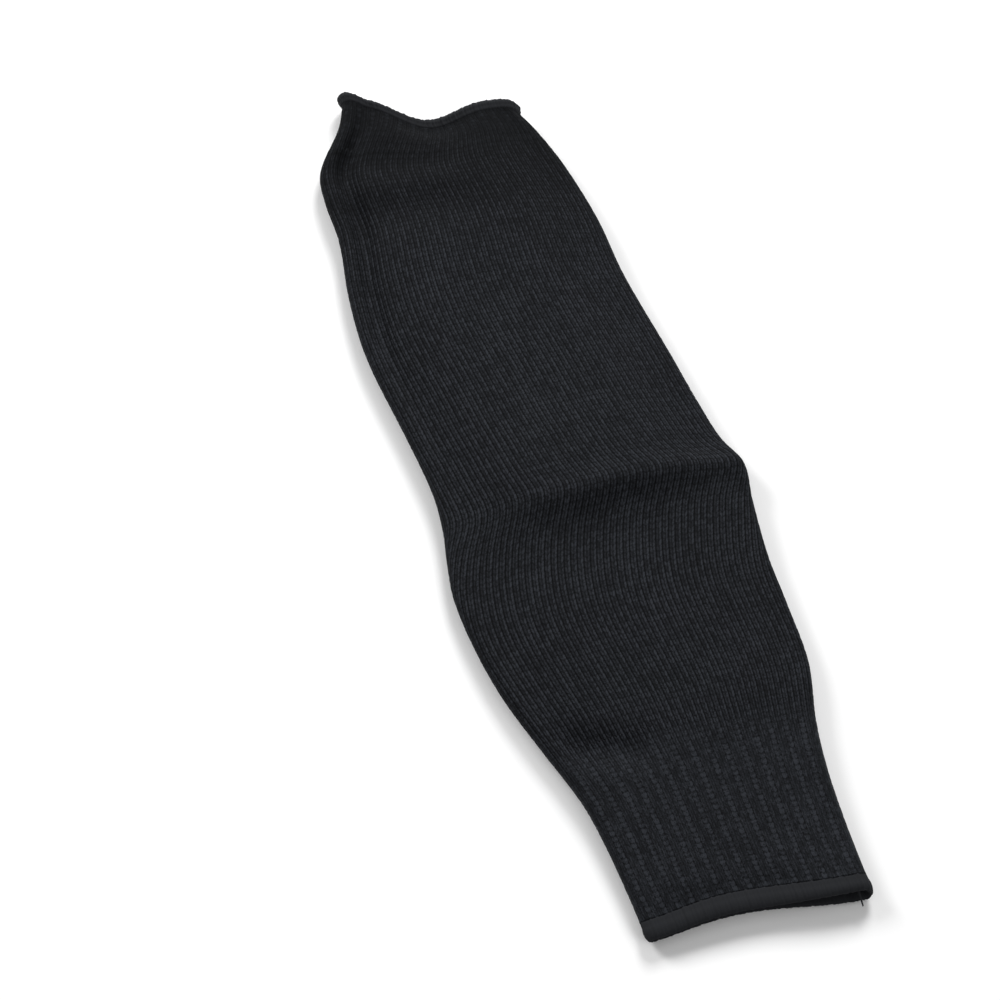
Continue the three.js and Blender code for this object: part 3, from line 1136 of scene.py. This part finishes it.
@dataclass(frozen=True)
class YarnFinish:
    """The look of one kind of charcoal yarn: linear colours, and the shader's constants."""

    light: Colour
    dark: Colour
    roughness: float = 0.8
    specular: float = 0.08
    roughness_spread: float = 0.2
    clouds_per_metre: float = 55.0
    cloud_share: float = 0.3
    cloud_detail: float = 3.0
    fibres_per_metre: float = 2400.0
    fibre_share: float = 2.0
    fibre_detail: float = 2.0

    def dress(
        self, bench: NodeBench, share: ShaderValue, stretch: Triple
    ) -> tuple[bpy.types.NodeSocket, ShaderValue, ShaderValue]:
        """Adds the yarn's fibres and slow clouds to a share of brightness, and colours it.

        Args:
            bench: the material's bench.
            share: the share of the light colour, of the stitches alone.
            stretch: the fibres' scale along each axis, as shares of the first.

        Returns:
            The colour, the roughness and the fibres.
        """
        fibres = bench.noise(self.fibres_per_metre, self.fibre_detail, stretch)
        clouds = bench.noise(self.clouds_per_metre, self.cloud_detail)
        share = share.varied(fibres, self.fibre_share).varied(clouds, self.cloud_share).kept()
        roughness = self.roughness + (fibres - 0.5) * self.roughness_spread
        return bench.mix_colour(share, self.dark, self.light), roughness, fibres


KNIT_YARN = YarnFinish(light=(0.0250, 0.0276, 0.0333, 1.0), dark=(0.0014, 0.0016, 0.0020, 1.0))
EDGE_THREAD = YarnFinish(
    light=(0.0182, 0.0192, 0.0218, 1.0),
    dark=(0.0075, 0.0083, 0.0100, 1.0),
    fibre_share=0.45,
    roughness=0.78,
    specular=0.1,
    cloud_share=0.2,
)


@dataclass(frozen=True)
class KnitFinish:
    """Knitted yarn: each stitch two leaning legs, on a rib each third wale purl loops."""

    name: str
    yarn: YarnFinish
    ribbed: bool
    edges: tuple[Edge, Edge]
    # painted shade: the share of brightness at the piece's start and at its upper end
    painted_shade_tones: Pair = (1.0, 1.0)
    painted_shade_courses: float = 30.0
    inner_side: float = 0.75
    course_gap: float = 0.4
    second_leg: float = 0.4
    stitch_share: float = 0.14
    leg_share: float = 0.4
    # painted highlight: how strongly each leg's crest is lit in the colour
    painted_highlight_power: float = 2.5
    painted_highlight_share: float = 0.7
    # painted shade in the gaps of a rib's knit wales goes no darker than this
    rib_painted_shade_floor: float = 0.35
    rib_tone: float = 0.56
    loop_tone: float = 1.02
    growing_courses: float = 9.0
    purl_half: float = 0.65
    loop_gap: float = 0.65
    plies: float = 2.5
    ply_share: float = 0.15
    fibre_stretch: Triple = (1.0, 0.6, 1.0)
    heights: Triple = (0.8, 0.08, 0.12)
    bump: Pair = (0.5, 0.0003)

    def material(self, sizes: SleeveSizes, courses: int) -> bpy.types.Material:
        """Makes the finish for a piece with that many courses.

        Within a wale and a course, both from 0 to 1, a leg is 1 - s^2 - course_gap (2t - 1)^4, where s is
        4 |p - 1/2| - 1, smaller on the leg's inner side so that the two legs run together. Its painted
        highlight, brightest along the crest, is that height to the painted_highlight_power. A purl loop is
        1 - (away / purl_half)^4 - loop_gap (2t - 1)^2. The gaps between are low and painted dark as their
        shade, on a rib's knit wales no darker than rib_painted_shade_floor. The second leg lies in the shade
        of the first, and each stitch and leg has its own tone. painted_shade_tones are painted shade: the
        share of brightness at the piece's start and, reached over the last painted_shade_courses, at its
        upper end.
        The ribs grow out of the plain knit over growing_courses from the join. heights are the shares of the
        yarn, its plies and its fibres in the bump.

        Args:
            sizes: the sleeve's sizes.
            courses: rows of stitches along the piece.

        Returns:
            The material.
        """
        bench = NodeBench(self.name)
        wale, course = bench.uv(sizes.wales, courses)
        place, along = wale.fraction() - 0.5, course.fraction() * 2.0 - 1.0
        across = abs(place) * 4.0 - 1.0
        side = across.math("MAXIMUM", 0.0) + across.math("MINIMUM", 0.0) * self.inner_side
        yarn_height = (1.0 - side * side - along * along * along * along * self.course_gap).kept()
        shaded = 1.0 - place.math("GREATER_THAN", 0.0) * self.second_leg
        # painted highlight along each leg's crest and painted shade in the gaps between the stitches
        painted_light_and_shade = yarn_height * (1.0 - self.painted_highlight_share) + yarn_height**self.painted_highlight_power * self.painted_highlight_share
        painted_light_and_shade = painted_light_and_shade * shaded
        if self.ribbed:
            whole = sizes.wales_per_rib
            turned = wale * (1.0 / whole) + (0.5 - (whole - 0.5) / whole)
            away = abs(turned.fraction() - 0.5) * (whole / self.purl_half)
            purl = 1.0 - away.math("GREATER_THAN", 1.0)
            loop = (1.0 - away * away * away * away - along * along * self.loop_gap).kept()
            from_join = course if self.edges[0] is Edge.KNIT else courses - course
            grown = (from_join * (1.0 / self.growing_courses)).kept()
            # painted shade in the gaps of a rib's knit wales and between its purl loops
            calm = (yarn_height * (1.0 - self.rib_painted_shade_floor) + self.rib_painted_shade_floor) * self.rib_tone
            ribs = calm + (loop * self.loop_tone - calm) * purl
            painted_light_and_shade = painted_light_and_shade + (ribs - painted_light_and_shade) * grown
            yarn_height = yarn_height + (loop - yarn_height) * (purl * grown)
        stitch = bench.cells(wale, course)
        leg = bench.cells(wale * 2.0, course)
        turn = (across * 0.5 + along) * (self.plies * math.pi)
        plies = turn.math("SINE") * 0.5 + 0.5
        # painted shade: the knit darkens over its last courses towards the upper rim
        low, high = self.painted_shade_tones
        reach = min(self.painted_shade_courses, courses)
        near_end = ((course - (courses - reach)) * (1.0 / reach)).kept()
        share = painted_light_and_shade * (near_end * (high - low) + low) * (1.0 - plies * self.ply_share)
        share = share.varied(stitch, self.stitch_share).varied(leg, self.leg_share)
        colour, roughness, fibres = self.yarn.dress(bench, share, self.fibre_stretch)
        of_yarn, of_plies, of_fibres = self.heights
        height = yarn_height.math("SQRT") * of_yarn + plies * of_plies + fibres * of_fibres
        return bench.finish(colour, roughness, height, self.bump, self.yarn.specular)


@dataclass(frozen=True)
class OverlockFinish:
    """Fine thread wound obliquely over the rolled edge."""

    name: str
    yarn: YarnFinish
    turns: float = 310.0
    slope: float = 9.0
    painted_groove_shade: float = 0.16
    brightness: float = 0.8
    thread_height: float = 0.8
    fibre_stretch: Triple = (1.0, 1.0, 1.0)
    bump: Pair = (0.16, 0.00015)

    def material(self) -> bpy.types.Material:
        """Makes the finish. The threads are |sin(pi (turns u + slope v))|, with painted shade in the grooves
        between.

        Returns:
            The material.
        """
        bench = NodeBench(self.name)
        round_way, over = bench.uv(self.turns, self.slope)
        thread = abs(((round_way + over) * math.pi).math("SINE"))
        # painted shade in the grooves between the wound threads
        share = (1.0 - self.painted_groove_shade + thread * self.painted_groove_shade) * self.brightness
        colour, roughness, fibres = self.yarn.dress(bench, share, self.fibre_stretch)
        height = thread * self.thread_height + fibres * (1.0 - self.thread_height)
        return bench.finish(colour, roughness, height, self.bump, self.yarn.specular)


@dataclass
class Sleeve:
    """The whole sleeve: three knitted walls and two welts."""

    sizes: SleeveSizes = field(default_factory=SleeveSizes)

    def __post_init__(self) -> None:
        """Settles the tube where the frame has it."""
        self.tube = LyingTube(self.sizes)
        self.tube.settle(*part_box("arm_body"))

    def walls(self) -> list[KnitWall]:
        """Lists the knitted walls, from the wrist up."""
        sizes = self.sizes
        return [
            KnitWall(
                sizes, "knitted_wrist_cuff", "ribbed_knit", sizes.cuff_start, sizes.body_start,
                ribbed=True, columns_per_wale=6, rows_per_course=4, inner_rows=30, cut=(0.21, 0.079),
                edges=(Edge.WELT, Edge.KNIT),
            ),
            # the body's and the upper rib's tones are painted shade, darker towards the upper rim
            KnitWall(
                sizes, "knitted_arm_body", "plain_knit", sizes.body_start + sizes.join_gap, sizes.body_end,
                ribbed=False, columns_per_wale=4, rows_per_course=2, inner_rows=44, cut=(0.27, 0.294),
                edges=(Edge.KNIT, Edge.KNIT), painted_shade_tones=(1.0, 0.36),
            ),
            KnitWall(
                sizes, "knitted_upper_rib", "ribbed_knit", sizes.body_end + sizes.join_gap, sizes.rib_end,
                ribbed=True, columns_per_wale=6, rows_per_course=4, inner_rows=12, cut=(0.19, 0.019),
                edges=(Edge.KNIT, Edge.WELT), rib_depth=0.0002, painted_shade_tones=(0.36, 0.24),
            ),
        ]

    def welts(self) -> list[RolledWelt]:
        """Lists the two welts."""
        sizes = self.sizes
        return [
            RolledWelt(
                "rolled_wrist_welt", "overlocked_edge", sizes.cuff_start, -1, sizes.wrist_welt_length,
                slim_top=0.75, slim_under=0.55, lip=0.0028, thread_end=True,
            ),
            RolledWelt("rolled_upper_welt", "overlocked_edge", sizes.rib_end, 1, sizes.upper_welt_length),
        ]

    def build(self) -> None:
        """Builds and dresses each piece, hangs it on the root and hides the frame's part that it replaces.
        """
        replaced = {
            "knitted_wrist_cuff": "wrist_cuff",
            "knitted_arm_body": "arm_body",
            "knitted_upper_rib": "upper_rib",
            "rolled_wrist_welt": "wrist_welt",
            "rolled_upper_welt": "upper_welt",
        }
        overlock = OverlockFinish("overlocked_edge", EDGE_THREAD).material()
        for part in [*self.walls(), *self.welts()]:
            piece = part.build(self.tube)
            if isinstance(part, KnitWall):
                finish = KnitFinish(f"{part.name}_yarn", KNIT_YARN, part.ribbed, part.edges, part.painted_shade_tones)
                piece.data.materials.append(finish.material(self.sizes, part.course_count))
            else:
                piece.data.materials.append(overlock)
            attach(piece, "root")
            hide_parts(replaced[part.name])
            LOG.info("%s: %d faces", part.name, len(piece.data.polygons))
        for wall in self.walls():
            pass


@dataclass(frozen=True)
class SoftLamp:
    """A square area light."""

    name: str
    place: Triple
    side: float
    watts: float

    def hang(self, aim: Vector) -> None:
        """Hangs the lamp, facing a point.

        Args:
            aim: the point.
        """
        data = bpy.data.lights.new(self.name, "AREA")
        data.energy = self.watts
        data.size = self.side
        lamp = add_object(self.name, data)
        lamp.location = self.place
        lamp.rotation_euler = (aim - Vector(self.place)).to_track_quat("-Z", "Y").to_euler()


@dataclass(frozen=True)
class Studio:
    """The pale floor, the soft lights and the camera.

    The eye and the aim are places in the sleeve's own frame, and offset is how far that lies from the
    scene's. focal_share is the focal length over the sensor's width.
    """

    offset: Array
    eye: Triple = (-0.2460, -0.5700, 1.315)
    aim: Triple = (-0.0366, 0.0069, 0.0)
    focal_share: float = 3.4
    sensor: float = 36.0
    floor_side: float = 8.0
    floor_drop: float = 0.0002
    floor_roughness: float = 0.9
    floor_colour: Colour = (0.97, 0.97, 0.97, 1.0)
    sky: Colour = (1.0, 1.0, 1.0, 1.0)
    sky_strength: float = 0.25
    lamps: tuple[SoftLamp, ...] = (
        SoftLamp("left_window", (-0.9, 1.3, 1.0), 0.7, 22.0),
        SoftLamp("right_window", (0.9, 1.3, 1.2), 0.7, 30.0),
        SoftLamp("overhead_light", (0.2, 0.0, 2.2), 2.0, 6.0),
        SoftLamp("front_fill", (0.6, -0.95, 0.9), 0.7, 3.0),
    )

    def set_up(self) -> None:
        """Sets up the whole studio."""
        self.lay_floor()
        for lamp in self.lamps:
            lamp.hang(Vector(self.aim))
        world = bpy.data.worlds.new("studio")
        world.use_nodes = True
        backdrop = world.node_tree.nodes["Background"]
        backdrop.inputs["Color"].default_value = self.sky
        backdrop.inputs["Strength"].default_value = self.sky_strength
        bpy.context.scene.world = world
        bpy.context.scene.view_settings.view_transform = "Standard"
        self.set_camera()

    def lay_floor(self) -> None:
        """Lays the plain floor, floor_drop under the sleeve."""
        half = self.floor_side / 2
        mesh = bpy.data.meshes.new("floor")
        corners = [(-half, -half), (half, -half), (half, half), (-half, half)]
        mesh.from_pydata([(x, y, -self.floor_drop) for x, y in corners], [], [(0, 1, 2, 3)])
        feeds = {"Base Color": self.floor_colour, "Roughness": self.floor_roughness}
        mesh.materials.append(NodeBench("pale_floor").surface(feeds))
        floor = add_object("floor", mesh)

    def set_camera(self) -> None:
        """Sets the camera at the photograph's angle."""
        data = bpy.data.cameras.new("camera")
        data.sensor_width = self.sensor
        data.lens = self.focal_share * self.sensor
        camera = add_object("camera", data)
        camera.location = Vector(self.eye) + Vector(self.offset)
        camera.rotation_euler = (Vector(self.aim) - Vector(self.eye)).to_track_quat("-Z", "Y").to_euler()
        bpy.context.scene.camera = camera


def main() -> None:
    """Builds the sleeve and its studio."""
    logging.basicConfig(level=logging.INFO, format="%(name)s %(message)s")
    sleeve = Sleeve()
    sleeve.build()
    Studio(sleeve.tube.offset).set_up()


if __name__ == "__main__":
    main()
